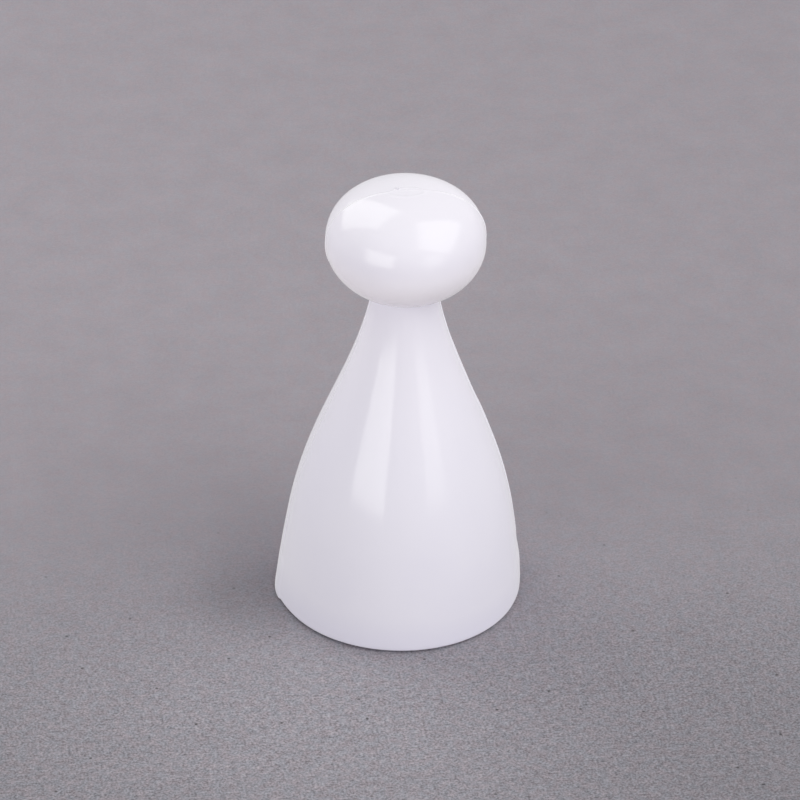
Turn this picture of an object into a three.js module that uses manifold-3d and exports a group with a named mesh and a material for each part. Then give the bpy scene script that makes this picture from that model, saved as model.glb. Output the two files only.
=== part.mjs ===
// A white plastic board-game pawn: a flared body, a narrow neck and a flattened round head.
// It is moulded as two thin-walled halves that meet on the upright seam which runs over the
// head and down both sides. Pegs on the front half push into sockets in the rear half.
// Sizes are in millimetres and +Z is up. The origin is the centre of the foot, on the surface
// that the pawn stands on. The seam lies in the XZ plane and the front half faces -Y.

import * as THREE from "three";
import { mergeVertices } from "three/addons/utils/BufferGeometryUtils.js";
import Module from "manifold-3d";

const wasm = await Module();
wasm.setup();

// Outside of the pawn
const HEIGHT = 25; // from the foot to the crown
const BASE_DIAMETER = 13.1;
const FOOT_ROUND = 0.25; // rounding of the outer edge of the foot
const FOOT_LEAN = 1.7; // degrees by which the wall leans in just above the foot
const LOWER_PULL = 9.55; // length of the flank curve's lower handle
const UPPER_PULL = 6.85; // length of the flank curve's upper handle
const NECK_DIAMETER = 3.4; // where the neck runs into the head
const NECK_LEAN = 9.5; // degrees by which the neck still leans in there
const HEAD_DIAMETER = 8.5;
const HEAD_HEIGHT = 6.25;
const CROWN_FULLNESS = 2.28; // 2 is an ellipse, and more is flatter on top

// Underside and inside
const RIM_WIDTH = 1.5; // ring that the pawn stands on, with the rounding of its edge
const RECESS_DEPTH = 0.6; // from the rim up to the underside of the floor
const FLOOR_THICKNESS = 2;
const WALL = 1.2; // measured level, between the flank and the hollow
const CORE_TIP_RADIUS = 1.2; // radius at which the hollow rounds off below the neck

// Pegs and sockets across the seam
const HEAD_PEG_DIAMETER = 2.4;
const HEAD_PEG_LENGTH = 2;
const FLOOR_PEG_SPACING = 7.2; // between the two pegs in the floor
const FLOOR_PEG_LENGTH = 1.6;
const SOCKET_COVER = 0.4; // floor left above and below a socket
const PEG_CLEARANCE = 0.1; // gap round a peg and at its tip
const PEG_CHAMFER = 0.2;
const PEG_ROOT = 0.5; // length of a peg inside its own half

// Trimmed gate pads, one at each end of the seam, that spread out towards the foot
const PAD_PROUD = 0.2; // at the pad's lower end
const PAD_LEAN = 4; // degrees by which the pad's face leans in
const PAD_WIDTH = 1.6; // across the seam
const PAD_HEIGHT = 2.3;
const PAD_BOTTOM = 0.1;

// Smoothness of the curves
const SIDES = 48;
const PEG_SIDES = 24;
const FOOT_STEPS = 3;
const FLANK_STEPS = 16;
const HEAD_STEPS = 18;
const TIP_STEPS = 4;

const BASE_RADIUS = BASE_DIAMETER / 2;
const NECK_RADIUS = NECK_DIAMETER / 2;
const HEAD_RADIUS = HEAD_DIAMETER / 2;
const HEAD_HALF_HEIGHT = HEAD_HEIGHT / 2;
const HEAD_CENTRE = HEIGHT - HEAD_HALF_HEIGHT;
const FLOOR_TOP = RECESS_DEPTH + FLOOR_THICKNESS;
const FLOOR_MIDDLE = RECESS_DEPTH + FLOOR_THICKNESS / 2;
const FLOOR_PEG_DIAMETER = FLOOR_THICKNESS - 2 * (SOCKET_COVER + PEG_CLEARANCE);

const point = (radius, height) => new THREE.Vector2(radius, height);

// Unit vector that points up a wall which leans in by the given angle.
function upTheWall(degrees) {
  const lean = THREE.MathUtils.degToRad(degrees);
  return point(-Math.sin(lean), Math.cos(lean));
}

// Angle of the head's outline, from its equator, where the neck runs into it.
const NECK_ANGLE = -Math.acos(NECK_RADIUS / HEAD_RADIUS);

// Outline of the head: an ellipse below its equator, and a fuller, flatter curve above it.
function headPoint(angle) {
  const power = angle > 0 ? 2 / CROWN_FULLNESS : 1;
  const across = Math.cos(angle) ** power;
  const up = Math.sign(angle) * Math.abs(Math.sin(angle)) ** power;
  return point(HEAD_RADIUS * across, HEAD_CENTRE + HEAD_HALF_HEIGHT * up);
}

// Rounded outer edge of the foot, from the flat rim up to the wall.
function footPoints() {
  const arc = new THREE.Path().absarc(
    BASE_RADIUS - FOOT_ROUND,
    FOOT_ROUND,
    FOOT_ROUND,
    -Math.PI / 2,
    THREE.MathUtils.degToRad(FOOT_LEAN),
  );
  return arc.getPoints(FOOT_STEPS);
}

// Flank of the body, from the top of the foot's rounding to the underside of the head.
function flankPoints() {
  const bottom = footPoints().at(-1);
  const top = headPoint(NECK_ANGLE);
  const flank = new THREE.CubicBezierCurve(
    bottom,
    bottom.clone().addScaledVector(upTheWall(FOOT_LEAN), LOWER_PULL),
    top.clone().addScaledVector(upTheWall(NECK_LEAN), -UPPER_PULL),
    top,
  );
  return flank.getPoints(FLANK_STEPS);
}

// Head from the neck to the crown.
function headPoints() {
  const points = [];
  for (let step = 1; step < HEAD_STEPS; step++) {
    const share = step / HEAD_STEPS;
    points.push(headPoint(THREE.MathUtils.lerp(NECK_ANGLE, Math.PI / 2, share)));
  }
  return points;
}

// Whole outside, from the middle of the underside's recess to the crown.
function outsidePoints() {
  return [
    point(0, RECESS_DEPTH),
    point(BASE_RADIUS - RIM_WIDTH, RECESS_DEPTH),
    point(BASE_RADIUS - RIM_WIDTH, 0),
    ...footPoints(),
    ...flankPoints().slice(1),
    ...headPoints(),
    point(0, HEIGHT),
  ];
}

// Hollow of the body: the flank moved in by the wall, from the floor up to a round tip.
function hollowPoints() {
  const inner = flankPoints().map((p) => point(p.x - WALL, p.y));
  const side = inner.filter((p) => p.y > FLOOR_TOP && p.x > CORE_TIP_RADIUS);
  const first = side[0];
  const below = inner[inner.indexOf(first) - 1];
  const share = (FLOOR_TOP - below.y) / (first.y - below.y);
  const corner = below.clone().lerp(first, share);
  const end = side.at(-1);
  const tip = new THREE.Path().absarc(0, end.y, end.x, 0, Math.PI / 2);
  return [
    point(0, FLOOR_TOP),
    corner,
    ...side,
    ...tip.getPoints(TIP_STEPS).slice(1, -1),
    point(0, end.y + end.x),
  ];
}

// A closed geometry as a solid that can be joined and cut.
function solid(geometry) {
  geometry.deleteAttribute("normal");
  geometry.deleteAttribute("uv");
  const merged = mergeVertices(geometry);
  return new wasm.Manifold(
    new wasm.Mesh({
      numProp: 3,
      vertProperties: new Float32Array(merged.attributes.position.array),
      triVerts: new Uint32Array(merged.index.array),
    }),
  );
}

// An outline turned about the pawn's upright axis.
function turned(points) {
  return solid(new THREE.LatheGeometry(points, SIDES).rotateX(Math.PI / 2));
}

// A round bar square to the seam, from inside the front half to its tip in the rear half.
function bar(diameter, length, chamfer, x, z) {
  const radius = diameter / 2;
  const outline = [
    point(0, -PEG_ROOT),
    point(radius, -PEG_ROOT),
    point(radius, length - chamfer),
    point(radius - chamfer, length),
    point(0, length),
  ];
  return solid(new THREE.LatheGeometry(outline, PEG_SIDES).translate(x, 0, z));
}

// Every peg: one in the middle of the head, and one to each side in the floor.
const PEGS = [
  { diameter: HEAD_PEG_DIAMETER, length: HEAD_PEG_LENGTH, x: 0, z: HEAD_CENTRE },
  ...[-1, 1].map((side) => ({
    diameter: FLOOR_PEG_DIAMETER,
    length: FLOOR_PEG_LENGTH,
    x: (side * FLOOR_PEG_SPACING) / 2,
    z: FLOOR_MIDDLE,
  })),
];

const peg = ({ diameter, length, x, z }) => bar(diameter, length, PEG_CHAMFER, x, z);

const socket = ({ diameter, length, x, z }) =>
  bar(diameter + 2 * PEG_CLEARANCE, length + PEG_CLEARANCE, 0, x, z);

// A low pad across the seam on one side of the foot, rooted in the wall.
function gatePad(side) {
  const root = WALL / 2;
  const pad = new THREE.BoxGeometry(root + PAD_PROUD, PAD_WIDTH, PAD_HEIGHT);
  const corners = pad.attributes.position;
  const slope = Math.tan(THREE.MathUtils.degToRad(PAD_LEAN));
  for (let corner = 0; corner < corners.count; corner++) {
    if (corners.getX(corner) > 0 && corners.getZ(corner) > 0) {
      corners.setX(corner, corners.getX(corner) - slope * PAD_HEIGHT);
    }
  }
  const centre = BASE_RADIUS + (PAD_PROUD - root) / 2;
  pad.translate(centre, 0, PAD_BOTTOM + PAD_HEIGHT / 2);
  return solid(side > 0 ? pad : pad.rotateZ(Math.PI));
}

// All the space on one side of the seam: -1 is the front and 1 is the rear.
function sideOfSeam(side) {
  const reach = Math.ceil(HEIGHT + BASE_DIAMETER);
  const space = new THREE.BoxGeometry(2 * reach, reach, 2 * reach);
  return solid(space.translate(0, (side * reach) / 2, 0));
}

// The whole shell before it is parted on the seam.
function shell() {
  let whole = turned(outsidePoints()).subtract(turned(hollowPoints()));
  for (const side of [-1, 1]) {
    whole = whole.add(gatePad(side));
  }
  return whole;
}

function frontHalf() {
  let half = shell().intersect(sideOfSeam(-1));
  for (const place of PEGS) {
    half = half.add(peg(place));
  }
  return half;
}

function rearHalf() {
  let half = shell().intersect(sideOfSeam(1));
  for (const place of PEGS) {
    half = half.subtract(socket(place));
  }
  return half;
}

// A finished solid as a named mesh in glossy white plastic.
function piece(name, body) {
  const { vertProperties, triVerts } = body.getMesh();
  const geometry = new THREE.BufferGeometry();
  geometry.setAttribute("position", new THREE.BufferAttribute(vertProperties, 3));
  geometry.setIndex(new THREE.BufferAttribute(triVerts, 1));
  geometry.computeVertexNormals();
  const plastic = new THREE.MeshStandardMaterial({
    color: 0xf1eff5,
    roughness: 0.22,
    metalness: 0,
  });
  const mesh = new THREE.Mesh(geometry, plastic);
  mesh.name = name;
  return mesh;
}

const pawn = new THREE.Group();
pawn.add(piece("front_half_shell", frontHalf()));
pawn.add(piece("rear_half_shell", rearHalf()));

export default pawn;
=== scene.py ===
"""A white plastic board-game pawn in two moulded halves that meet on an upright seam.

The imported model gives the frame, in metres with +Z up, the seam in the XZ plane and the front
half on the -Y side. Each half is one closed moulding: a polished skin with the seam's ridge and
the trimmed gate, a matt hollow, and the pegs or sockets that hold the halves together.
"""

import math
from collections import namedtuple

import bmesh
import bpy
from bpy.props import FloatProperty, FloatVectorProperty, PointerProperty
from bpy.types import Operator, Panel, PropertyGroup
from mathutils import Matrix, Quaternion, Vector, noise


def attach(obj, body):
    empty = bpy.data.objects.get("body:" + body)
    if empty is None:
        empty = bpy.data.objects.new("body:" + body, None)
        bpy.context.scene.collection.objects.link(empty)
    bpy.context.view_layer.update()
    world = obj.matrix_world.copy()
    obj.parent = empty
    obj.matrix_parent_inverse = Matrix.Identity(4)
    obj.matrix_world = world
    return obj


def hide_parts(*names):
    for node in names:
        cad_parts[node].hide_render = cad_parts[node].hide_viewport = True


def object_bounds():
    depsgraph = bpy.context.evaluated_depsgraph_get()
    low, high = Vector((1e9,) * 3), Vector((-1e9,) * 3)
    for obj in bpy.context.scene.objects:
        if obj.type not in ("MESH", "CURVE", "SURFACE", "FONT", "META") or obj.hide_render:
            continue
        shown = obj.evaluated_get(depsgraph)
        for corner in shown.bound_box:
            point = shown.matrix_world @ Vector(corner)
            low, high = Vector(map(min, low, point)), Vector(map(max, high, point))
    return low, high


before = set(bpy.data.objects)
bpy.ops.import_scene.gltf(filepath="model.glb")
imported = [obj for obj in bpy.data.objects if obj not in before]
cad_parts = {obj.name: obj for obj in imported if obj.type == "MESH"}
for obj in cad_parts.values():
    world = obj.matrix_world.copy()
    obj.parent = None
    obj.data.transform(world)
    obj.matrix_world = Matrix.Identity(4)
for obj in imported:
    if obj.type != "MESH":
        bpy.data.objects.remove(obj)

bl_info = {
    "name": "Plastic pawn",
    "version": (1, 0, 0),
    "blender": (4, 5, 0),
    "location": "3D View > Sidebar > Pawn",
    "description": "Makes a white plastic board-game pawn in two moulded halves, and its stage",
    "category": "Add Mesh",
}

CAD_LOW, CAD_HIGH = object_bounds()
CAD_SIZE = CAD_HIGH - CAD_LOW
CAD_MIDDLE = Vector((0, 0, (CAD_LOW.z + CAD_HIGH.z) / 2))

MM = 0.001
FRONT = -1
REAR = 1
SKIN = 0
INSIDE = 1

# Points along each stretch of the outline, and columns round each half
FOOT_STEPS = 6
CURVE_STEPS = 400
FILLET_STEPS = 5
FILLET_PULL = 0.67
RECESS_RINGS = (0, 0.25, 0.5, 0.75)
HOLLOW_STEPS = 16
HOLLOW_TIP_STEPS = 4
HOLLOW_COLUMNS = 48
PEG_SIDES = 48
MIDDLE_COLUMNS = 56
ON_AXIS = 1e-9
SHARP_ANGLE = math.radians(40)

# Smallest and largest gap between rings of the skin, and the heights on the flank or the
# distances from the axis on the head between which the gap grows
FLANK_GAPS = (0.09 * MM, 0.29 * MM)
FLANK_GAPS_GROW = (2.2 * MM, 5 * MM)
HEAD_GAPS = (0.035 * MM, 0.175 * MM)
HEAD_GAPS_GROW = (0.7 * MM, 2 * MM)

# Distances from the seam at which a half has a column, close together on the ridge and
# again at the sides of the trimmed patches and of the lip
SEAM_OFFSETS = [
    step * MM
    for step in (
        0, 0.012, 0.024, 0.036, 0.05, 0.07, 0.1, 0.15, 0.22, 0.3,
        0.4, 0.5, 0.6, 0.68, 0.74, 0.8, 0.86, 0.94, 1.05, 1.2,
    )
]
# On a small ring the columns by the seam draw together, to this share of its radius at most
SEAM_SPAN = 0.6

# Seam: heights between which the ridge and its heavier flash grow, how the ridge sinks towards
# the axis on the crown, and how uneven it is
RIDGE_GROWS = (1.5 * MM, 4 * MM)
RIDGE_SINKS = (1 * MM, 3 * MM)
RIDGE_ON_CROWN = 0.5
RIDGE_WAVE = 1.3 * MM
RIDGE_MEAN = 0.9
RIDGE_WANDER = 0.3
FLASH_GROWS = (5 * MM, 11 * MM)
FLASH_GROWS_LEFT = (9 * MM, 18 * MM)
FLASH_END = 0.5 * MM

# Crown: places of the mark and of its pit as shares of the mark's size, the width and the
# unevenness of the mark's edge, and the form of the pit in pit radii and depths of the mark
MARK_FORWARD = 0.2
MARK_EDGE = 0.16
MARK_WAVE = 0.35 * MM
MARK_MEAN = 0.7
MARK_WANDER = 0.6
PIT_LEFT = 0.26
PIT_BACK = 0.23
PIT_SPREAD = 0.7
PIT_DEPTH = 4
PIT_RIM_AT = 1.5
PIT_RIM_SPREAD = 0.4
PIT_RIM_HEIGHT = 1.25

# Gate: how far round the foot its swell reaches, close by and in all, and how it fades upwards
GATE_CLOSE = math.radians(14)
GATE_REACH = math.radians(85)
GATE_CLOSE_SHARE = 0.55
GATE_TOP = 4.2 * MM
GATE_FADE = 1.3
VENT_FADES = (1.6 * MM, 2.8 * MM)

# Patterns in the plastic: cells per metre, and the stretch of each noise that shows
SINK_SCALE = 330
PEEL_SCALE = 1500
TEXTURE_SCALE = 14000
SMEAR_SCALE = 420
SMEAR_SHOWS = (0.5, 0.8)
SCUFF_SCALE = 5200
SCUFF_SHOWS = (0.42, 0.62)
FLOW_SCALE = 160
FLOW_SHOWS = (0.35, 0.75)
FLOW_STRENGTH = 0.4
SPECK_SCALE = 450
SPECK_SHARE = 0.5
DOT_EDGE = (0.008, 0.02)

# Heights between which the foot's wear and its painted shade end, and the painted light of the neck,
# of the head and of the head's underside, which stands for light through the thick plastic, starts
# or ends
WEAR_ENDS = (0.1 * MM, 0.45 * MM)
FOOT_PAINTED_SHADE_ENDS = (0.2 * MM, 2.6 * MM)
NECK_PAINTED_LIGHT_RISES = (9 * MM, 16 * MM)
NECK_PAINTED_LIGHT = 0.16
HEAD_PAINTED_LIGHT_RISES = (18.9 * MM, 19.15 * MM)
UNDERSIDE_PAINTED_LIGHT_ENDS = (20.4 * MM, 22.8 * MM)
CROWN_PAINTED_LIGHT = 0.18

# Paler line along the seam, partly the flash's own white and partly a painted highlight of the
# ridge:
# its width, and how it strengthens away from the crown and the foot
LINE_ENDS = (0.03 * MM, 0.1 * MM)
LINE_ASIDE = (0.8 * MM, 3.2 * MM)
LINE_ABOVE = (3 * MM, 8 * MM)
LINE_LEAST = 0.03
LINE_GAIN = 0.42

PLASTIC_IOR = 1.5
MATT_SMEAR = 0.55
POLISHED_RELIEF = 0.004 * MM
MATT_RELIEF = 0.006 * MM

# Card: its form, as shares of half its width with a drop, and how far it lies below the foot
CARD_RINGS = ((0.02, 0), (0.2, 0), (1, 0), (1.001, 2 * MM))
CARD_CORNERS = ((-1, -1), (1, -1), (1, 1), (-1, 1))
CARD_BELOW = 0.1 * MM
CARD_ROUGHNESS = 0.85
CARD_SPECULAR = 0.2
CARD_RELIEF = 0.02 * MM

# Grain of the card: cells per metre, strengths, and how it strengthens from the rear to the front
FIBRE_SCALE = 7500
TUFT_SCALE = 2600
TUFT_STRENGTH = 0.34
GRAIN_MEAN = 0.67
GRAIN_GROWS = (9 * MM, -13 * MM)
GRAIN_REAR = 0.3
GRAIN_GAIN = 1.9
CLOUD_SCALE = 420
CLOUD_STRENGTH = 0.15

# Tone of the card: painted shade from front to rear and in a slope to the right, a painted pool of
# light in front of the pawn, a painted shadow on its left, and the places where it turns to the far
# tone
PAINTED_FRONT_SHADE_RISES = (-35 * MM, 35 * MM)
TONE_REAR = 1.03
PAINTED_SHADE_SLOPE = -0.0015 / MM
PAINTED_LIGHT_POOL_CENTRE = (-3.2 * MM, -12 * MM, 0)
PAINTED_LIGHT_POOL_FADES = (22 * MM, 3 * MM)
PAINTED_SHADOW_CENTRE = (-8.6 * MM, -0.5 * MM, 0)
PAINTED_SHADOW_FADES = (5 * MM, 0.5 * MM)
PAINTED_SHADOW_TONE = -0.16
FAR_FRONT = (-24 * MM, -85 * MM)
FAR_SIDES = (30 * MM, 95 * MM)

# Hue of the card: warm and cool blotches, a greyer front, and dark specks
TINT_SCALE = 1700
TINT_SHOWS = (0.32, 0.68)
TINT_REAR = 0.026
TINT_FRONT = 0.033
TINT_GREEN = 0.3
TINT_BLUE = 0.6
FRONT_HUE = (0.975, 1.015, 1.015)
FRONT_GROWS = (15 * MM, -10 * MM)
FRONT_MOST = 0.8
CARD_SPECK_SCALE = 180
CARD_SPECK_SHARE = 0.9

# The room's light changes to the light from below round the horizon, by the ray's rise
HORIZON = (-0.1, 0.15)

# Lamps: degrees round from the camera and above the horizon, metres, and degrees of turn
Lamp = namedtuple("Lamp", "azimuth elevation distance width height turn")
LAMPS = {
    "right_lamp": Lamp(75, 50, 0.45, 0.5, 0.43, 30),
    "rear_lamp": Lamp(-130, 42, 0.45, 0.33, 0.46, 0),
    "front_left_lamp": Lamp(-37, 13, 0.4, 0.295, 0.22, 0),
    "front_right_lamp": Lamp(41, 11, 0.4, 0.17, 0.185, 0),
}

SENSOR_WIDTH = 36
CAMERA_CLIP = (0.01, 20)


def millimetres(name, size, description):
    """A length that a user may change, with its default in millimetres."""
    return FloatProperty(
        name=name,
        description=description,
        default=size * MM,
        min=0,
        precision=5,
        subtype="DISTANCE",
        unit="LENGTH",
    )


def degrees(name, angle, description):
    """An angle that a user may change, with its default in degrees."""
    return FloatProperty(
        name=name,
        description=description,
        default=math.radians(angle),
        subtype="ANGLE",
        unit="ROTATION",
    )


def colour(name, red, green, blue, description):
    """A linear colour that a user may change."""
    return FloatVectorProperty(
        name=name,
        description=description,
        default=(red, green, blue),
        size=3,
        min=0,
        max=1,
        subtype="COLOR",
    )


def share(name, value, description):
    """A plain number from 0 to 1 that a user may change."""
    return FloatProperty(
        name=name, description=description, default=value, min=0, max=1, subtype="FACTOR"
    )


def watts(name, power, description):
    """The power of a lamp."""
    return FloatProperty(
        name=name, description=description, default=power, min=0, unit="POWER"
    )


class PawnShape(PropertyGroup):
    """Sizes of the mouldings."""

    height: millimetres("Height", CAD_SIZE.z / MM, "From the foot to the crown")
    base_diameter: millimetres("Base diameter", CAD_SIZE.y / MM, "Across the foot")
    foot_round: millimetres("Foot rounding", 0.16, "Radius of the foot's outer edge")
    foot_lean: degrees("Foot lean", 1.7, "Lean of the wall just above the foot")
    lower_pull: millimetres("Lower pull", 9.55, "Lower handle of the flank's curve")
    upper_pull: millimetres("Upper pull", 6.85, "Upper handle of the flank's curve")
    neck_diameter: millimetres("Neck diameter", 3.4, "Where the neck runs into the head")
    neck_lean: degrees("Neck lean", 9.5, "Lean of the neck where it runs into the head")
    neck_fillet: millimetres("Neck fillet", 0.16, "Reach of the rounding below the head")
    head_diameter: millimetres("Head diameter", 8.5, "Across the head")
    head_height: millimetres("Head height", 6.25, "Of the head's full oval, up to the crown")
    crown_fullness: FloatProperty(
        name="Crown fullness",
        description="2 is an ellipse, and more is flatter on top",
        default=2.28,
        min=1.5,
        max=4,
    )
    rim_width: millimetres("Rim width", 1.5, "Ring that the pawn stands on")
    rim_round: millimetres("Rim rounding", 0.12, "Radius of the rim's inner edge")
    recess_depth: millimetres("Recess depth", 0.6, "From the rim up to the floor's underside")
    floor_thickness: millimetres("Floor thickness", 2, "Of the floor that closes the hollow")
    wall: millimetres("Wall", 1.2, "Between the flank and the hollow, measured level")
    core_tip: millimetres("Core tip", 1.2, "Radius at which the hollow rounds off")
    head_peg: millimetres("Head peg", 2.4, "Diameter of the peg in the head")
    head_peg_length: millimetres("Head peg length", 2, "From the seam to the peg's tip")
    floor_peg: millimetres("Floor peg", 1, "Diameter of the two pegs in the floor")
    floor_peg_length: millimetres("Floor peg length", 1.6, "From the seam to the pegs' tips")
    floor_peg_spacing: millimetres("Floor peg spacing", 7.2, "Between the pegs in the floor")
    peg_clearance: millimetres("Peg clearance", 0.1, "Gap round a peg and at its tip")
    peg_chamfer: millimetres("Peg chamfer", 0.2, "On the tip of each peg")
    ridge_height: millimetres("Seam ridge", 0.044, "Height of the ridge along the seam")
    flash_height: millimetres("Flash", 0.085, "Height of the flash on the upper flank")
    ridge_reach: millimetres("Ridge reach", 0.085, "From the seam to the foot of the ridge")
    gate_swell: millimetres("Gate swell", 0.235, "Bulge of the foot where the gate was trimmed")
    vent_swell: millimetres("Vent swell", 0.07, "Bulge of the foot across from the gate")
    pad_proud: millimetres("Pad", 0.018, "Height of the trimmed patch on each bulge")
    pad_width: millimetres("Pad width", 1.6, "Of the trimmed patches, across the seam")
    pad_height: millimetres("Pad height", 2.3, "From the ground to the patches' upper end")
    pad_edge: millimetres("Pad edge", 0.45, "Width of the soft edge round a patch")
    lip_proud: millimetres("Lip", 0.024, "Height of the sharp lip left at the foot of the gate")
    lip_width: millimetres("Lip width", 1.9, "Of the lip, across the seam")
    lip_height: millimetres("Lip height", 0.7, "From the ground to the lip's upper end")
    mark_length: millimetres("Crown mark", 1.8, "Length of the shallow mark on the crown")
    mark_width: millimetres("Crown mark width", 0.85, "Across the shallow mark on the crown")
    mark_depth: millimetres("Crown mark depth", 0.036, "Height of the mark's edge")
    pit_width: millimetres("Pit", 0.16, "Across the tiny pit by the crown mark")


class PawnFinish(PropertyGroup):
    """Colours and gloss of the plastic, with its painted light and shade."""

    plastic: colour("Plastic", 0.864, 0.84, 0.942, "The white of the moulding")
    # Colour of the flow clouds, and of painted shade at the foot by the ground
    cloud_and_painted_shade: colour("Cloud and painted shade", 0.812, 0.788, 0.914, "Deeper white of the clouds and of the foot")
    # Colour of painted light on the head and neck, standing for light through the thick plastic
    painted_light: colour("Painted light", 0.99, 0.942, 1, "Of the head, most on its underside, and of the neck")
    # Colour of the flash line, partly the flash's own white and partly a painted highlight of the
    # ridge
    flash_and_highlight: colour("Flash", 0.97, 0.955, 0.99, "The thin flash along the seam")
    speck: colour("Speck", 0.45, 0.43, 0.42, "Tiny dark specks in the plastic")
    gloss: share("Gloss", 0.12, "Roughness of the polished skin")
    smear: share("Smear", 0.2, "Roughness where fingers have dulled the skin")
    matt: share("Matt", 0.42, "Roughness of the inside, which the mould's core left unpolished")


class PawnStage(PropertyGroup):
    """Ground, light and camera."""

    card: colour("Card", 0.33, 0.301, 0.343, "The card that the pawn stands on")
    # Painted shade: the card darker in front
    card_front_painted_shade: share("Card front painted shade", 0.715, "Tone of the card in front, as a share of its colour")
    card_far: FloatProperty(
        name="Card far",
        description="Tone of the card well away from the pawn, as a share of its colour",
        default=2.4,
        min=0,
    )
    # Painted pool of light on the card in front of the pawn
    card_painted_light: share("Card painted light", 0.15, "How much paler the card is close in front of the pawn")
    card_speck: colour("Card speck", 0.08, 0.075, 0.08, "Tiny dark specks in the card")
    card_width: millimetres("Card width", 3000, "Length of each side of the card")
    backdrop: colour("Backdrop", 0.4, 0.385, 0.41, "Plain colour beyond the card")
    room: colour("Room", 1, 0.985, 1, "Colour of the light from the room")
    room_left: share("Room left", 0.23, "Brightness of the room on the left")
    room_right: share("Room right", 0.64, "Brightness of the room on the right")
    room_front: share("Room front", 0.67, "Brightness of the room in front")
    room_rear: share("Room rear", 0.6, "Brightness of the room behind")
    room_below: share("Room below", 0.65, "Brightness below the card's level")
    lamp: colour("Lamp", 0.98, 1, 0.93, "Colour of the lamps")
    right_power: watts("Right lamp", 1.06, "Large soft lamp on the right, the key")
    rear_power: watts("Rear lamp", 0.787, "Soft lamp behind the pawn on the left")
    front_left_power: watts("Front left lamp", 0.449, "Lamp in front on the left")
    front_right_power: watts("Front right lamp", 0.092, "Lamp in front on the right")
    azimuth: degrees("Camera azimuth", -7.35, "Round the pawn, from the middle of its front")
    elevation: degrees("Camera elevation", 33.08, "Above the horizon")
    distance: millimetres("Camera distance", 300, "From the middle of the pawn")
    lens: FloatProperty(
        name="Lens",
        description="Focal length in millimetres for a sensor 36 mm wide",
        default=252.1,
        min=1,
        unit="CAMERA",
    )
    roll: degrees("Camera roll", 1.105, "The picture's lean")
    aim_left: millimetres("Aim left", 0.149, "How far left of the pawn's middle it looks")
    aim_down: millimetres("Aim down", 0.493, "How far below the pawn's middle it looks")


def smooth(value, low, high):
    """From 0 at low to 1 at high, with soft ends."""
    part = min(max((value - low) / (high - low), 0), 1)
    return part * part * (3 - 2 * part)


def ramp(value, ends, levels):
    """From one level to another while a value goes from one end to the other."""
    return levels[0] + (levels[1] - levels[0]) * smooth(value, *ends)


def hump(value, width):
    """1 at 0, falling softly to nothing over about two widths to each side."""
    return math.exp(-((value / width) ** 2))


def arc(centre, radius, start, end, steps):
    """Points of an outline on an arc, between two angles."""
    points = []
    for step in range(steps + 1):
        angle = start + (end - start) * step / steps
        points.append(centre + radius * Vector((math.cos(angle), math.sin(angle))))
    return points


def up_the_wall(lean):
    """Unit vector that points up a wall which leans in."""
    return Vector((-math.sin(lean), math.cos(lean)))


def bezier(start, pull, push, end, steps):
    """Points of a cubic curve with two handles."""
    points = []
    for step in range(steps + 1):
        t = step / steps
        s = 1 - t
        points.append(
            s**3 * start + 3 * s * s * t * pull + 3 * s * t * t * push + t**3 * end
        )
    return points


def spread(points, spacing):
    """Thins a dense curve: each point that is kept lies the gap that spacing gives from the last."""
    kept = [points[0]]
    gap = 0
    for last, point in zip(points, points[1:]):
        gap += (point - last).length
        if gap >= spacing(point):
            kept.append(point)
            gap = 0
    if gap < spacing(points[-1]) / 2 and len(kept) > 1:
        kept.pop()
    if kept[-1] != points[-1]:
        kept.append(points[-1])
    return kept


def neck_angle(shape):
    """Angle of the head's outline, from its equator, where the neck runs into it."""
    return -math.acos(shape.neck_diameter / shape.head_diameter)


def head_point(shape, angle):
    """A point of the head's outline: an ellipse below its equator, fuller and flatter above."""
    power = 2 / shape.crown_fullness if angle > 0 else 1
    half_height = shape.head_height / 2
    across = max(math.cos(angle), 0) ** power
    up = math.copysign(abs(math.sin(angle)) ** power, angle)
    return Vector((
        shape.head_diameter / 2 * across, shape.height - half_height + half_height * up
    ))


def foot_points(shape):
    """The foot's rounded outer edge, from the flat rim up to the wall."""
    radius = shape.base_diameter / 2
    centre = Vector((radius - shape.foot_round, shape.foot_round))
    return arc(centre, shape.foot_round, -math.pi / 2, shape.foot_lean, FOOT_STEPS)


def flank_points(shape, steps):
    """The flank, from the foot's rounding to the underside of the head."""
    bottom = foot_points(shape)[-1]
    top = head_point(shape, neck_angle(shape))
    return bezier(
        bottom,
        bottom + up_the_wall(shape.foot_lean) * shape.lower_pull,
        top - up_the_wall(shape.neck_lean) * shape.upper_pull,
        top,
        steps,
    )


def head_points(shape, steps):
    """The head's outline, from the neck to the crown."""
    start = neck_angle(shape)
    return [
        head_point(shape, start + (math.pi / 2 - start) * step / steps)
        for step in range(steps + 1)
    ]


def underside_points(shape):
    """From the middle of the recess, over the rim's inner edge, to the rim."""
    inner = shape.base_diameter / 2 - shape.rim_width
    turn = shape.rim_round
    corner = arc(
        Vector((inner - turn, shape.recess_depth - turn)),
        turn, math.pi / 2, 0, FILLET_STEPS,
    )
    edge = arc(Vector((inner + turn, turn)), turn, math.pi, 1.5 * math.pi, FILLET_STEPS)
    plain = [Vector((inner * part, shape.recess_depth)) for part in RECESS_RINGS]
    return [*plain, *corner, *edge]


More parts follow.
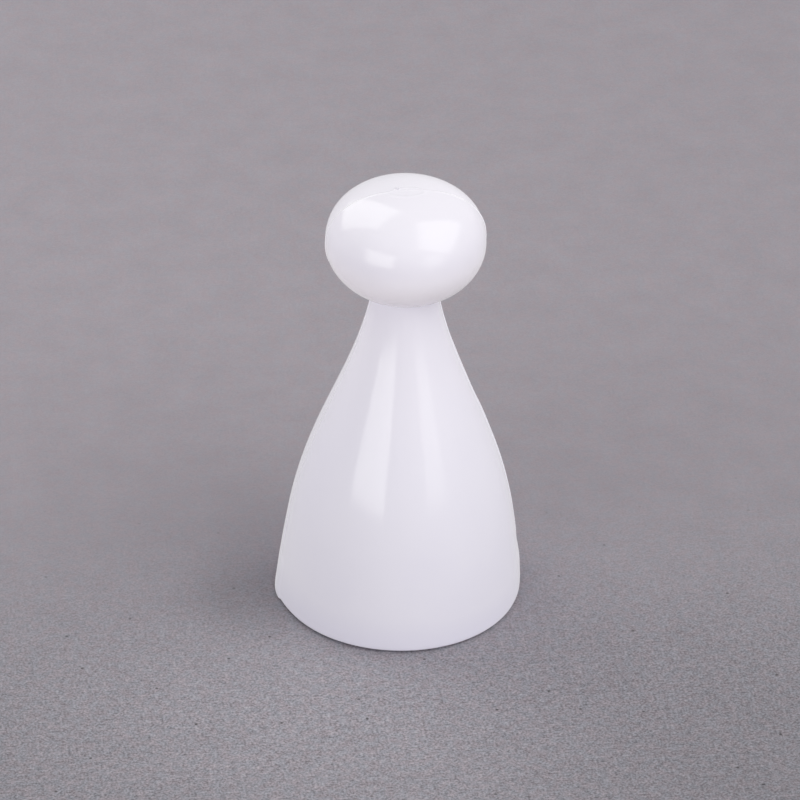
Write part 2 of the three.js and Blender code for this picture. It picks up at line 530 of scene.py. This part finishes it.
def skin_points(shape):
    """The outside, from the foot's edge to the crown, with the crease under the head filled."""
    flank = flank_points(shape, CURVE_STEPS)
    head = head_points(shape, CURVE_STEPS)
    crease = head[0]
    reach = shape.neck_fillet
    flank = [p for p in flank if (p - crease).length > reach]
    head = [p for p in head if (p - crease).length > reach]
    below = flank[-1].lerp(crease, FILLET_PULL)
    above = head[0].lerp(crease, FILLET_PULL)
    fillet = bezier(flank[-1], below, above, head[0], FILLET_STEPS)

    def flank_gap(point):
        return ramp(point.y, FLANK_GAPS_GROW, FLANK_GAPS)

    def head_gap(point):
        return ramp(point.x, HEAD_GAPS_GROW, HEAD_GAPS)

    return [
        *foot_points(shape),
        *spread(flank, flank_gap)[1:],
        *fillet[1:-1],
        *spread(head, head_gap),
    ]


def hollow_points(shape):
    """The hollow: the flank moved in by the wall, from the floor up to a round tip."""
    floor_top = shape.recess_depth + shape.floor_thickness
    inner = [Vector((p.x - shape.wall, p.y)) for p in flank_points(shape, HOLLOW_STEPS)]
    side = [p for p in inner if p.y > floor_top and p.x > shape.core_tip]
    below = inner[inner.index(side[0]) - 1]
    part = (floor_top - below.y) / (side[0].y - below.y)
    end = side[-1]
    tip = arc(Vector((0, end.y)), end.x, 0, math.pi / 2, HOLLOW_TIP_STEPS)
    return [
        Vector((0, floor_top)),
        below.lerp(side[0], part),
        *side,
        *tip[1:-1],
        Vector((0, end.y + end.x)),
    ]


def skin_columns(radius):
    """Angles across a half at one ring, from one end of the seam to the other."""
    squeeze = min(1, radius * SEAM_SPAN / SEAM_OFFSETS[-1])
    near = [math.asin(squeeze * offset / radius) for offset in SEAM_OFFSETS]
    width = math.pi - 2 * near[-1]
    middle = [
        near[-1] + width * step / MIDDLE_COLUMNS for step in range(1, MIDDLE_COLUMNS)
    ]
    return [*near, *middle, *[math.pi - angle for angle in reversed(near)]]


def even_columns(radius):
    """Even angles across a half, the same at each ring whatever its radius."""
    return [math.pi * step / HOLLOW_COLUMNS for step in range(HOLLOW_COLUMNS + 1)]


def outward(points, index):
    """Unit normal of an outline at one of its points, away from the plastic."""
    before = points[max(index - 1, 0)]
    after = points[min(index + 1, len(points) - 1)]
    along = (after - before).normalized()
    return Vector((along.y, -along.x))


def ridge(shape, spot):
    """How far the seam's ridge stands out at a spot of the skin: most on the upper flank."""
    across = abs(spot.y) / shape.ridge_reach
    if across >= 1:
        return 0
    neck = head_point(shape, neck_angle(shape)).y
    heavy = smooth(spot.z, *FLASH_GROWS) * (1 - smooth(spot.z, neck, neck + FLASH_END))
    if spot.x < 0:
        heavy *= smooth(spot.z, *FLASH_GROWS_LEFT)
    height = shape.ridge_height + (shape.flash_height - shape.ridge_height) * heavy
    height *= smooth(spot.z, *RIDGE_GROWS)
    height *= ramp(abs(spot.x), RIDGE_SINKS, (RIDGE_ON_CROWN, 1))
    wander = noise.noise(Vector((spot.x, 0, spot.z)) / RIDGE_WAVE)
    height *= RIDGE_MEAN + RIDGE_WANDER * wander
    return height * math.cos(across * math.pi / 2) ** 2


def crown_mark(shape, spot):
    """Height of the shallow oval mark on the crown, with its tiny pit."""
    if spot.z < shape.height - shape.head_height / 4:
        return 0
    mark = Vector((spot.x, spot.y + MARK_FORWARD * shape.mark_width))
    reach = math.hypot(2 * mark.x / shape.mark_length, 2 * mark.y / shape.mark_width)
    wander = MARK_MEAN + MARK_WANDER * noise.noise(spot / MARK_WAVE)
    pit = Vector((spot.x + PIT_LEFT * shape.mark_length, spot.y - PIT_BACK * shape.mark_width))
    away = pit.length / (shape.pit_width / 2)
    dip = PIT_DEPTH * hump(away, PIT_SPREAD)
    dip -= PIT_RIM_HEIGHT * hump(away - PIT_RIM_AT, PIT_RIM_SPREAD)
    return shape.mark_depth * (hump(reach - 1, MARK_EDGE) * wander - dip)


def trimmed_gate(shape, spot):
    """Bulge of the foot at the ends of the seam: the gate with its lip, and the vent."""
    radius = math.hypot(spot.x, spot.y)
    off = math.asin(min(abs(spot.y) / radius, 1))
    close = hump(off, GATE_CLOSE)
    edge = shape.pad_edge / 2

    def within(width):
        return 1 - smooth(abs(spot.y), width / 2 - edge, width / 2 + edge)

    if spot.x < 0:
        around = 1 - smooth(off, 0, GATE_REACH)
        bulge = GATE_CLOSE_SHARE * close + (1 - GATE_CLOSE_SHARE) * around
        bulge *= shape.gate_swell * max(1 - spot.z / GATE_TOP, 0) ** GATE_FADE
        lip = within(shape.lip_width) * (1 - smooth(spot.z, 0, shape.lip_height))
        rounding = shape.base_diameter / 2 - radius
        bulge += (rounding + shape.lip_proud) * lip
    else:
        bulge = shape.vent_swell * close * (1 - smooth(spot.z, *VENT_FADES))
    patch = within(shape.pad_width) * smooth(spot.z, 0, 2 * edge)
    patch *= 1 - smooth(spot.z, shape.pad_height - edge, shape.pad_height + edge)
    return bulge + shape.pad_proud * patch


def turned_rings(mesh, points, side, columns, finish=None):
    """Rings of vertices of half a turned form: a single vertex where the outline meets the axis."""
    rings = []
    for index, point in enumerate(points):
        if point.x < ON_AXIS:
            rings.append([mesh.verts.new((0, 0, point.y))])
            continue
        normal = outward(points, index)
        angles = columns(point.x)
        ring = []
        for angle in angles:
            on_seam = angle in (angles[0], angles[-1])
            turn = Vector((math.cos(angle), 0 if on_seam else side * math.sin(angle), 0))
            spot = turn * point.x + Vector((0, 0, point.y))
            if finish:
                spot = finish(spot, turn * normal.x + Vector((0, 0, normal.y)))
            ring.append(mesh.verts.new(spot))
        rings.append(ring)
    return rings


def lay_faces(mesh, rings, material):
    """Faces between each ring of vertices and the next."""
    for lower, upper in zip(rings, rings[1:]):
        count = max(len(lower), len(upper))
        for step in range(count - 1):
            corners = [
                lower[min(step, len(lower) - 1)],
                lower[min(step + 1, len(lower) - 1)],
                upper[min(step + 1, len(upper) - 1)],
                upper[min(step, len(upper) - 1)],
            ]
            face = mesh.faces.new(list(dict.fromkeys(corners)))
            face.material_index = material
            face.smooth = True


def bar(mesh, x, z, diameter, length, chamfer):
    """A round bar from the seam towards the rear, closed at its tip: a peg or a socket's wall."""
    radius = diameter / 2
    outline = [(radius, 0), (radius, length - chamfer)]
    if chamfer:
        outline.append((radius - chamfer, length))
    rings = []
    for across, along in outline:
        ring = []
        for step in range(PEG_SIDES):
            angle = 2 * math.pi * step / PEG_SIDES
            ring.append(mesh.verts.new(
                (x + across * math.cos(angle), along, z + across * math.sin(angle))
            ))
        rings.append([*ring, ring[0]])
    rings.append([mesh.verts.new((x, length, z))])
    lay_faces(mesh, rings, INSIDE)


def lay_bars(mesh, shape, side):
    """The pegs of the front half, or the sockets of the rear half."""
    gap = shape.peg_clearance if side == REAR else 0
    chamfer = 0 if side == REAR else shape.peg_chamfer
    floor_middle = shape.recess_depth + shape.floor_thickness / 2
    bar(
        mesh, 0, shape.height - shape.head_height / 2,
        shape.head_peg + 2 * gap, shape.head_peg_length + gap, chamfer,
    )
    for x in (-shape.floor_peg_spacing / 2, shape.floor_peg_spacing / 2):
        bar(
            mesh, x, floor_middle,
            shape.floor_peg + 2 * gap, shape.floor_peg_length + gap, chamfer,
        )


def close_seam(mesh):
    """Fills the flat of the seam between the skin, the hollow and the pegs or sockets."""
    rim = [edge for edge in mesh.edges if edge.is_boundary]
    filled = bmesh.ops.triangle_fill(mesh, use_beauty=True, edges=rim, normal=(0, 1, 0))
    for face in filled["geom"]:
        if isinstance(face, bmesh.types.BMFace):
            face.material_index = INSIDE
            face.smooth = True


def mould_half(shape, side, name, materials):
    """One half of the pawn as a closed mesh with a polished skin and a matt inside."""
    mesh = bmesh.new()

    def skin_finish(spot, normal):
        level = Vector((spot.x, spot.y, 0)).normalized()
        proud = ridge(shape, spot) + crown_mark(shape, spot)
        return spot + normal * proud + level * trimmed_gate(shape, spot)

    underside = turned_rings(mesh, underside_points(shape), side, skin_columns)
    skin = turned_rings(mesh, skin_points(shape), side, skin_columns, skin_finish)
    lay_faces(mesh, [*underside, skin[0]], INSIDE)
    lay_faces(mesh, skin, SKIN)
    lay_faces(mesh, turned_rings(mesh, hollow_points(shape), side, even_columns), INSIDE)
    lay_bars(mesh, shape, side)
    close_seam(mesh)
    bmesh.ops.recalc_face_normals(mesh, faces=mesh.faces)
    if not all(edge.is_manifold for edge in mesh.edges):
        raise RuntimeError(f"{name} is not a closed mesh")
    data = bpy.data.meshes.new(name)
    mesh.to_mesh(data)
    mesh.free()
    for material in materials:
        data.materials.append(material)
    data.set_sharp_from_angle(angle=SHARP_ANGLE)
    half = bpy.data.objects.new(name, data)
    bpy.context.scene.collection.objects.link(half)
    return half


def new_group(name, inputs, outputs):
    """An empty shader node group with named number inputs and outputs."""
    group = bpy.data.node_groups.new(name, "ShaderNodeTree")
    for label, value in inputs.items():
        socket = group.interface.new_socket(label, in_out="INPUT", socket_type="NodeSocketFloat")
        socket.default_value = value
    for label in outputs:
        group.interface.new_socket(label, in_out="OUTPUT", socket_type="NodeSocketFloat")
    return group


def add(tree, kind, **settings):
    """A node with its properties set."""
    node = tree.nodes.new(kind)
    for key, value in settings.items():
        setattr(node, key, value)
    return node


def calculate(tree, operation, *values):
    """A Math node on sockets or plain numbers, and its result."""
    node = add(tree, "ShaderNodeMath", operation=operation)
    for socket, value in zip(node.inputs, values):
        if isinstance(value, bpy.types.NodeSocket):
            tree.links.new(value, socket)
        else:
            socket.default_value = value
    return node.outputs[0]


def object_place(tree):
    """The place on the object, whole and as its X, Y and Z."""
    place = add(tree, "ShaderNodeTexCoord").outputs["Object"]
    apart = add(tree, "ShaderNodeSeparateXYZ")
    tree.links.new(place, apart.inputs["Vector"])
    return place, *apart.outputs


def blotches(tree, place, scale, detail, roughness=0.5):
    """Cloudy noise from about 0 to 1."""
    node = add(tree, "ShaderNodeTexNoise")
    tree.links.new(place, node.inputs["Vector"])
    node.inputs["Scale"].default_value = scale
    node.inputs["Detail"].default_value = detail
    node.inputs["Roughness"].default_value = roughness
    return node.outputs["Fac"]


def window(tree, value, low, high):
    """A number mapped to 0 at low and 1 at high, with soft ends."""
    node = add(tree, "ShaderNodeMapRange", interpolation_type="SMOOTHSTEP")
    tree.links.new(value, node.inputs["Value"])
    node.inputs["From Min"].default_value = low
    node.inputs["From Max"].default_value = high
    return node.outputs["Result"]


def fade(tree, value, low, high):
    """A number mapped to 1 at low and 0 at high, with soft ends."""
    return calculate(tree, "SUBTRACT", 1, window(tree, value, low, high))


def dots(tree, place, scale, part, space="3D"):
    """Tiny round dots, one in the given part of the cells of a pattern in space or on a level."""
    cells = add(tree, "ShaderNodeTexVoronoi", feature="F1", voronoi_dimensions=space)
    tree.links.new(place, cells.inputs["Vector"])
    cells.inputs["Scale"].default_value = scale
    cells.inputs["Randomness"].default_value = 1
    apart = add(tree, "ShaderNodeSeparateColor")
    tree.links.new(cells.outputs["Color"], apart.inputs["Color"])
    few = calculate(tree, "LESS_THAN", apart.outputs["Red"], part)
    near = fade(tree, cells.outputs["Distance"], *DOT_EDGE)
    return calculate(tree, "MULTIPLY", near, few)


def moulded_surface_group():
    """Height of a moulded surface: slow sink marks, orange peel and the mould's fine texture."""
    group = new_group(
        "moulded_surface", {"Sink": 1, "Peel": 1, "Texture": 0}, ["Height"]
    )
    start = add(group, "NodeGroupInput")
    place = add(group, "ShaderNodeTexCoord").outputs["Object"]
    height = 0
    for label, scale, detail in (
        ("Sink", SINK_SCALE, 1), ("Peel", PEEL_SCALE, 2), ("Texture", TEXTURE_SCALE, 3)
    ):
        relief = blotches(group, place, scale, detail)
        height = calculate(group, "MULTIPLY_ADD", relief, start.outputs[label], height)
    end = add(group, "NodeGroupOutput")
    group.links.new(height, end.inputs["Height"])
    return group


def painted_head_light(group, z):
    """Mask of painted light for light through the thick plastic: the head, most of all underneath,
    and a little the neck.
    """
    under = fade(group, z, *UNDERSIDE_PAINTED_LIGHT_ENDS)
    under = calculate(group, "MULTIPLY_ADD", under, 1 - CROWN_PAINTED_LIGHT, CROWN_PAINTED_LIGHT)
    head = calculate(group, "MULTIPLY", under, window(group, z, *HEAD_PAINTED_LIGHT_RISES))
    neck = calculate(group, "MULTIPLY", window(group, z, *NECK_PAINTED_LIGHT_RISES), NECK_PAINTED_LIGHT)
    return calculate(group, "MAXIMUM", head, neck)


def seam_flash_and_highlight(group, x, y, z):
    """The paler line of the flash along the seam, partly a painted highlight of the ridge, faint on
    the crown and by the foot.
    """
    line = fade(group, calculate(group, "ABSOLUTE", y), *LINE_ENDS)
    aside = window(group, calculate(group, "ABSOLUTE", x), *LINE_ASIDE)
    aside = calculate(group, "MULTIPLY", aside, window(group, z, *LINE_ABOVE))
    strength = calculate(group, "MULTIPLY_ADD", aside, LINE_GAIN, LINE_LEAST)
    return calculate(group, "MULTIPLY", line, strength)


def marks_and_painted_light_group():
    """Masks of the white: dulling smears and wear, cloudy flow with painted shade at the foot,
    specks, painted light on the head and neck, and flash with a painted highlight.
    """
    group = new_group(
        "marks_and_painted_light",
        {"Smears": 1, "Specks": 1, "Wear": 1},
        ["Smear", "Flow and painted foot shade", "Speck", "Painted light", "Flash"],
    )
    start = add(group, "NodeGroupInput")
    place, x, y, z = object_place(group)
    smear = window(group, blotches(group, place, SMEAR_SCALE, 4, 0.6), *SMEAR_SHOWS)
    smear = calculate(group, "MULTIPLY", smear, start.outputs["Smears"])
    scuffs = window(group, blotches(group, place, SCUFF_SCALE, 2), *SCUFF_SHOWS)
    wear = calculate(group, "MULTIPLY", fade(group, z, *WEAR_ENDS), scuffs)
    wear = calculate(group, "MULTIPLY", wear, start.outputs["Wear"])
    flow = window(group, blotches(group, place, FLOW_SCALE, 3), *FLOW_SHOWS)
    flow = calculate(group, "MULTIPLY", flow, FLOW_STRENGTH)
    speck = dots(group, place, SPECK_SCALE, SPECK_SHARE)
    masks = {
        "Smear": calculate(group, "MAXIMUM", smear, wear),
        # Flow clouds, with painted shade darkening the foot towards the ground
        "Flow and painted foot shade": calculate(group, "MAXIMUM", flow, fade(group, z, *FOOT_PAINTED_SHADE_ENDS)),
        "Speck": calculate(group, "MULTIPLY", speck, start.outputs["Specks"]),
        # Painted light on the head, most under it, and a little on the neck
        "Painted light": painted_head_light(group, z),
        # Flash line, partly a painted highlight of the ridge
        "Flash": seam_flash_and_highlight(group, x, y, z),
    }
    end = add(group, "NodeGroupOutput")
    for label, mask in masks.items():
        group.links.new(mask, end.inputs[label])
    return group


def place_group(tree, make, name, **values):
    """A shared group in a material, built the first time, with this material's own values."""
    node = add(tree, "ShaderNodeGroup", node_tree=bpy.data.node_groups.get(name) or make())
    for label, value in values.items():
        node.inputs[label].default_value = value
    return node


def blend_colours(tree, mask, first, second):
    """A colour between two others, by a mask."""
    node = add(tree, "ShaderNodeMix", data_type="RGBA")
    tree.links.new(mask, node.inputs["Factor"])
    for socket, value in ((node.inputs["A"], first), (node.inputs["B"], second)):
        if isinstance(value, bpy.types.NodeSocket):
            tree.links.new(value, socket)
        else:
            socket.default_value = (*value, 1)
    return node.outputs["Result"]


def add_relief(tree, shader, height, distance):
    """A bump on a material's surface."""
    relief = add(tree, "ShaderNodeBump")
    relief.inputs["Distance"].default_value = distance
    tree.links.new(height, relief.inputs["Height"])
    tree.links.new(relief.outputs["Normal"], shader.inputs["Normal"])


def plastic_material(name, finish, low, high, surface, marks_and_painted_light, bump):
    """White plastic with its surface, its marks of use and its painted light and shade; low and high
    are the roughness.
    """
    material = bpy.data.materials.get(name)
    if material:
        return material
    material = bpy.data.materials.new(name)
    material.use_nodes = True
    material.diffuse_color = (*finish.plastic, 1)
    tree = material.node_tree
    shader = tree.nodes["Principled BSDF"]
    shader.inputs["IOR"].default_value = PLASTIC_IOR
    marks = place_group(tree, marks_and_painted_light_group, "marks_and_painted_light", **marks_and_painted_light)
    skin = place_group(tree, moulded_surface_group, "moulded_surface", **surface)
    # Flow clouds, and painted shade at the foot
    white = blend_colours(tree, marks.outputs["Flow and painted foot shade"], finish.plastic, finish.cloud_and_painted_shade)
    # Painted light on the head and neck
    white = blend_colours(tree, marks.outputs["Painted light"], white, finish.painted_light)
    # Flash line, partly a painted highlight of the ridge
    white = blend_colours(tree, marks.outputs["Flash"], white, finish.flash_and_highlight)
    white = blend_colours(tree, marks.outputs["Speck"], white, finish.speck)
    tree.links.new(white, shader.inputs["Base Color"])
    dull = add(tree, "ShaderNodeMapRange")
    tree.links.new(marks.outputs["Smear"], dull.inputs["Value"])
    dull.inputs["To Min"].default_value = low
    dull.inputs["To Max"].default_value = high
    tree.links.new(dull.outputs["Result"], shader.inputs["Roughness"])
    add_relief(tree, shader, skin.outputs["Height"], bump)
    return material


def plastic_materials(finish):
    """The polished white of the skin, and the matt white of the inside."""
    polished = plastic_material(
        "polished_white_plastic", finish, finish.gloss, finish.smear,
        {"Sink": 1, "Peel": 0.25, "Texture": 0},
        {"Smears": 1, "Specks": 1, "Wear": 1},
        POLISHED_RELIEF,
    )
    matt = plastic_material(
        "matt_white_plastic", finish, finish.matt, MATT_SMEAR,
        {"Sink": 1, "Peel": 1, "Texture": 1},
        {"Smears": 1, "Specks": 0, "Wear": 0},
        MATT_RELIEF,
    )
    return polished, matt


def tinted(base, warmth):
    """A colour made a little warmer, or cooler where warmth is below 0."""
    red, green, blue = base
    return (
        red * (1 + warmth), green * (1 - TINT_GREEN * warmth), blue * (1 - TINT_BLUE * warmth)
    )


def round_spot(tree, place, centre, fades):
    """A soft round spot on the card."""
    away = add(tree, "ShaderNodeVectorMath", operation="DISTANCE")
    tree.links.new(place, away.inputs[0])
    away.inputs[1].default_value = centre
    return window(tree, away.outputs["Value"], *fades)


def card_grain(tree, place, y, fibres):
    """Fibres, tufts and clouds of the card as a factor round 1, strongest in front."""
    tufts = blotches(tree, place, TUFT_SCALE, 2)
    clouds = blotches(tree, place, CLOUD_SCALE, 3)
    grain = calculate(tree, "MULTIPLY_ADD", tufts, TUFT_STRENGTH, fibres)
    grain = calculate(tree, "SUBTRACT", grain, GRAIN_MEAN)
    coarse = window(tree, y, *GRAIN_GROWS)
    coarse = calculate(tree, "MULTIPLY_ADD", coarse, GRAIN_GAIN, GRAIN_REAR)
    grain = calculate(tree, "MULTIPLY", grain, coarse)
    cloud = calculate(tree, "SUBTRACT", clouds, 0.5)
    cloud = calculate(tree, "MULTIPLY_ADD", cloud, CLOUD_STRENGTH, 1)
    return calculate(tree, "ADD", grain, cloud)


def card_tone_and_painted_light(tree, stage, place, x, y):
    """The card's slow changes of tone: painted shade deeper in front and to the right, a painted
    pool of light and a painted shadow, and paler far away.
    """
    # Painted shade: darker in front, and sloping darker towards the right
    tone = window(tree, y, *PAINTED_FRONT_SHADE_RISES)
    tone = calculate(
        tree, "MULTIPLY_ADD", tone, TONE_REAR - stage.card_front_painted_shade, stage.card_front_painted_shade
    )
    tone = calculate(tree, "MULTIPLY_ADD", x, PAINTED_SHADE_SLOPE, tone)
    # Painted pool of light on the card in front of the pawn
    patch = round_spot(tree, place, PAINTED_LIGHT_POOL_CENTRE, PAINTED_LIGHT_POOL_FADES)
    tone = calculate(tree, "MULTIPLY_ADD", patch, stage.card_painted_light, tone)
    # Painted shadow on the card to the left of the foot
    painted_shadow = round_spot(tree, place, PAINTED_SHADOW_CENTRE, PAINTED_SHADOW_FADES)
    tone = calculate(tree, "MULTIPLY_ADD", painted_shadow, PAINTED_SHADOW_TONE, tone)
    aside = window(tree, calculate(tree, "ABSOLUTE", x), *FAR_SIDES)
    far = calculate(tree, "MAXIMUM", window(tree, y, *FAR_FRONT), aside)
    far = calculate(tree, "MULTIPLY_ADD", far, stage.card_far - 1, 1)
    return calculate(tree, "MULTIPLY", tone, far)


def card_hue(tree, stage, place, y):
    """The card's colour: warm and cool blotches, greyer in front, with dark specks there."""
    tint = window(tree, blotches(tree, place, TINT_SCALE, 2), *TINT_SHOWS)
    grey = [part * factor for part, factor in zip(stage.card, FRONT_HUE)]
    behind = blend_colours(
        tree, tint, tinted(stage.card, TINT_REAR), tinted(stage.card, -TINT_REAR)
    )
    ahead = blend_colours(tree, tint, tinted(grey, TINT_FRONT), tinted(grey, -TINT_FRONT))
    near = calculate(tree, "MULTIPLY", window(tree, y, *FRONT_GROWS), FRONT_MOST)
    hue = blend_colours(tree, near, behind, ahead)
    specks = dots(tree, place, CARD_SPECK_SCALE, CARD_SPECK_SHARE, "2D")
    specks = calculate(tree, "MULTIPLY", specks, near)
    return blend_colours(tree, specks, hue, stage.card_speck)


def card_material(stage):
    """Pale matt card with clouds and fibres, and painted light and shade."""
    material = bpy.data.materials.new("pale_card")
    material.use_nodes = True
    tree = material.node_tree
    shader = tree.nodes["Principled BSDF"]
    shader.inputs["Roughness"].default_value = CARD_ROUGHNESS
    shader.inputs["Specular IOR Level"].default_value = CARD_SPECULAR
    place, x, y, _ = object_place(tree)
    fibres = blotches(tree, place, FIBRE_SCALE, 3, 0.6)
    grain = card_grain(tree, place, y, fibres)
    tone = calculate(tree, "MULTIPLY", card_tone_and_painted_light(tree, stage, place, x, y), grain)
    paper = add(tree, "ShaderNodeVectorMath", operation="SCALE")
    tree.links.new(card_hue(tree, stage, place, y), paper.inputs[0])
    tree.links.new(tone, paper.inputs["Scale"])
    tree.links.new(paper.outputs["Vector"], shader.inputs["Base Color"])
    add_relief(tree, shader, fibres, CARD_RELIEF)
    return material


def lay_card(stage):
    """The card that the pawn stands on, its edges turned down a little."""
    half = stage.card_width / 2
    mesh = bmesh.new()
    rings = []
    for reach, drop in CARD_RINGS:
        ring = [mesh.verts.new((x * half * reach, y * half * reach, -drop)) for x, y in CARD_CORNERS]
        rings.append([*ring, ring[0]])
    lay_faces(mesh, rings, SKIN)
    mesh.faces.new(rings[0][:-1])
    bmesh.ops.recalc_face_normals(mesh, faces=mesh.faces)
    data = bpy.data.meshes.new("card")
    mesh.to_mesh(data)
    mesh.free()
    data.materials.append(card_material(stage))
    card = bpy.data.objects.new("card", data)
    card.location.z = -CARD_BELOW
    card.visible_glossy = False
    bpy.context.scene.collection.objects.link(card)


def light_room(stage):
    """Plain light from the room, by direction, and a plain backdrop for the camera."""
    world = bpy.data.worlds.new("room")
    world.use_nodes = True
    bpy.context.scene.world = world
    tree = world.node_tree
    lit = tree.nodes["Background"]
    lit.inputs["Color"].default_value = (*stage.room, 1)
    apart = add(tree, "ShaderNodeSeparateXYZ")
    tree.links.new(
        add(tree, "ShaderNodeTexCoord").outputs["Generated"], apart.inputs["Vector"]
    )
    walls = 0
    for axis, way, brightness in (
        ("X", -1, stage.room_left),
        ("X", 1, stage.room_right),
        ("Y", -1, stage.room_front),
        ("Y", 1, stage.room_rear),
    ):
        wall = calculate(tree, "MULTIPLY", apart.outputs[axis], way * brightness)
        walls = calculate(tree, "ADD", calculate(tree, "MAXIMUM", wall, 0), walls)
    above = window(tree, apart.outputs["Z"], *HORIZON)
    below = calculate(tree, "MULTIPLY_ADD", above, -stage.room_below, stage.room_below)
    total = calculate(tree, "MULTIPLY_ADD", walls, above, below)
    tree.links.new(total, lit.inputs["Strength"])
    plain = add(tree, "ShaderNodeBackground")
    plain.inputs["Color"].default_value = (*stage.backdrop, 1)
    seen = add(tree, "ShaderNodeLightPath").outputs["Is Camera Ray"]
    either = add(tree, "ShaderNodeMixShader")
    tree.links.new(seen, either.inputs["Fac"])
    tree.links.new(lit.outputs["Background"], either.inputs[1])
    tree.links.new(plain.outputs["Background"], either.inputs[2])
    tree.links.new(either.outputs["Shader"], tree.nodes["World Output"].inputs["Surface"])


def towards(azimuth, elevation):
    """Unit vector from the pawn, with azimuth from the middle of its front towards +X."""
    level = math.cos(elevation)
    return Vector((
        math.sin(azimuth) * level, -math.cos(azimuth) * level, math.sin(elevation)
    ))


def facing(way, turn):
    """Rotation of a lamp or camera that looks back along a direction, turned about it."""
    return (-way).to_track_quat("-Z", "Y") @ Quaternion((0, 0, 1), turn)


def hang_lamp(stage, name, power):
    """A soft lamp that faces the pawn, placed by its angle from the camera's own side."""
    place = LAMPS[name]
    data = bpy.data.lights.new(name, "AREA")
    data.shape = "RECTANGLE"
    data.size = place.width
    data.size_y = place.height
    data.energy = power
    data.color = stage.lamp
    lamp = bpy.data.objects.new(name, data)
    way = towards(stage.azimuth + math.radians(place.azimuth), math.radians(place.elevation))
    lamp.location = CAD_MIDDLE + way * place.distance
    lamp.rotation_mode = "QUATERNION"
    lamp.rotation_quaternion = facing(way, math.radians(place.turn))
    lamp.visible_camera = False
    bpy.context.scene.collection.objects.link(lamp)


def set_camera(stage):
    """The photograph's view: from above, a little to one side, with a long lens."""
    data = bpy.data.cameras.new("camera")
    data.sensor_width = SENSOR_WIDTH
    data.lens = stage.lens
    data.clip_start, data.clip_end = CAMERA_CLIP
    camera = bpy.data.objects.new("camera", data)
    way = towards(stage.azimuth, stage.elevation)
    turn = facing(way, stage.roll)
    aside = turn @ Vector((-stage.aim_left, -stage.aim_down, 0))
    camera.location = CAD_MIDDLE + way * stage.distance + aside
    camera.rotation_mode = "QUATERNION"
    camera.rotation_quaternion = turn
    bpy.context.scene.collection.objects.link(camera)
    bpy.context.scene.camera = camera


class PAWN_OT_front_half(Operator):
    """Mould the front half, with its pegs"""

    bl_idname = "pawn.front_half"
    bl_label = "Front half"
    bl_options = {"REGISTER", "UNDO"}

    def execute(self, context):
        materials = plastic_materials(context.scene.pawn_finish)
        half = mould_half(context.scene.pawn_shape, FRONT, "front_half_moulding", materials)
        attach(half, "root")
        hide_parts("front_half_shell")
        return {"FINISHED"}


class PAWN_OT_rear_half(Operator):
    """Mould the rear half, with its sockets"""

    bl_idname = "pawn.rear_half"
    bl_label = "Rear half"
    bl_options = {"REGISTER", "UNDO"}

    def execute(self, context):
        materials = plastic_materials(context.scene.pawn_finish)
        half = mould_half(context.scene.pawn_shape, REAR, "rear_half_moulding", materials)
        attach(half, "root")
        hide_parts("rear_half_shell")
        return {"FINISHED"}


class PAWN_OT_stage(Operator):
    """Lay the card, hang the lamps and set the camera"""

    bl_idname = "pawn.stage"
    bl_label = "Stage"
    bl_options = {"REGISTER", "UNDO"}

    def execute(self, context):
        stage = context.scene.pawn_stage
        context.scene.view_settings.view_transform = "Standard"
        lay_card(stage)
        light_room(stage)
        hang_lamp(stage, "right_lamp", stage.right_power)
        hang_lamp(stage, "rear_lamp", stage.rear_power)
        hang_lamp(stage, "front_left_lamp", stage.front_left_power)
        hang_lamp(stage, "front_right_lamp", stage.front_right_power)
        set_camera(stage)
        return {"FINISHED"}


class PAWN_PT_panel(Panel):
    """The pawn's pieces and sizes"""

    bl_idname = "PAWN_PT_panel"
    bl_label = "Plastic pawn"
    bl_space_type = "VIEW_3D"
    bl_region_type = "UI"
    bl_category = "Pawn"

    def draw(self, context):
        scene = context.scene
        for step in (PAWN_OT_front_half, PAWN_OT_rear_half, PAWN_OT_stage):
            self.layout.operator(step.bl_idname)
        for group in (scene.pawn_shape, scene.pawn_finish, scene.pawn_stage):
            box = self.layout.box()
            for name in group.bl_rna.properties.keys():
                if name not in ("rna_type", "name"):
                    box.prop(group, name)


CLASSES = (
    PawnShape,
    PawnFinish,
    PawnStage,
    PAWN_OT_front_half,
    PAWN_OT_rear_half,
    PAWN_OT_stage,
    PAWN_PT_panel,
)


def register():
    for cls in CLASSES:
        bpy.utils.register_class(cls)
    bpy.types.Scene.pawn_shape = PointerProperty(type=PawnShape)
    bpy.types.Scene.pawn_finish = PointerProperty(type=PawnFinish)
    bpy.types.Scene.pawn_stage = PointerProperty(type=PawnStage)


def unregister():
    del bpy.types.Scene.pawn_stage
    del bpy.types.Scene.pawn_finish
    del bpy.types.Scene.pawn_shape
    for cls in reversed(CLASSES):
        bpy.utils.unregister_class(cls)


def main():
    register()
    bpy.ops.pawn.front_half()
    bpy.ops.pawn.rear_half()
    bpy.ops.pawn.stage()


if __name__ == "__main__":
    main()
